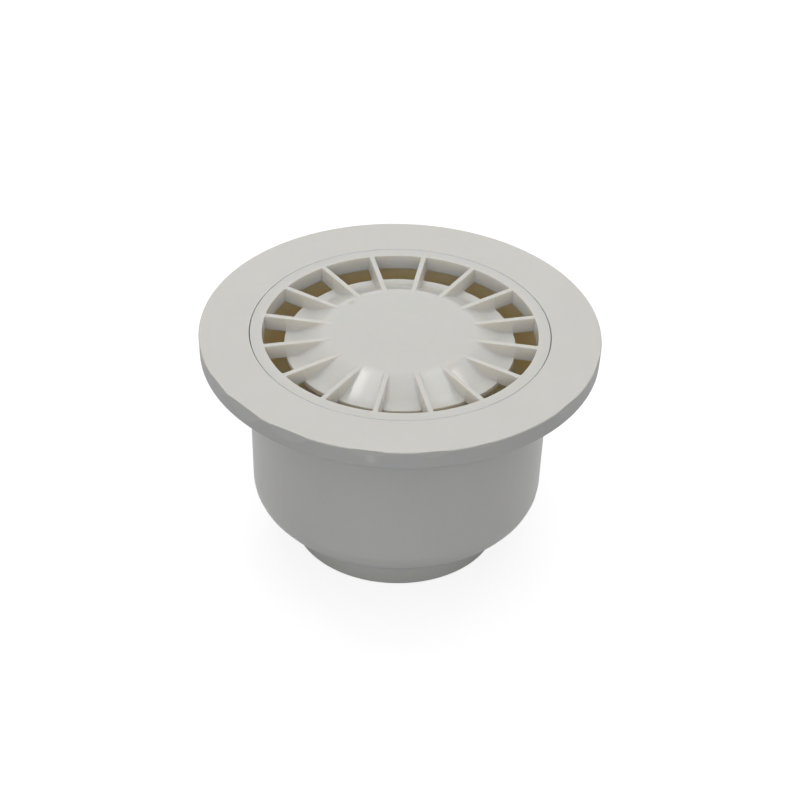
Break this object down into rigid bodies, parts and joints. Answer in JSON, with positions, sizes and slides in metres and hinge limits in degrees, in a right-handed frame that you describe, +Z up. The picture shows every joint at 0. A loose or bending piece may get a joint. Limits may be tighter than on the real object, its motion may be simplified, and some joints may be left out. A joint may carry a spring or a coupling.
{
  "type": "floor drain",
  "caption": "Round plastic floor drain: flanged bowl with a pipe socket below, a trap bell over its standpipe and a drop-in grate with petals and slots round its rim.",
  "frame": {"origin": "centre of the outlet's lower rim, on the drain's axis, where the drain stands", "axes": "+Z up the drain's axis through the middle of the grate, +X to the right and +Y to the back as the picture shows it"},
  "size_m": [0.1499, 0.15, 0.0895],
  "materials": {
    "body_plastic": "satin",
    "grate_plastic": "glossy"
  },
  "bodies": {
    "root": {"drain_body": "body_plastic", "trap_bell": "body_plastic", "grate": "grate_plastic"}
  },
  "joints": []
}
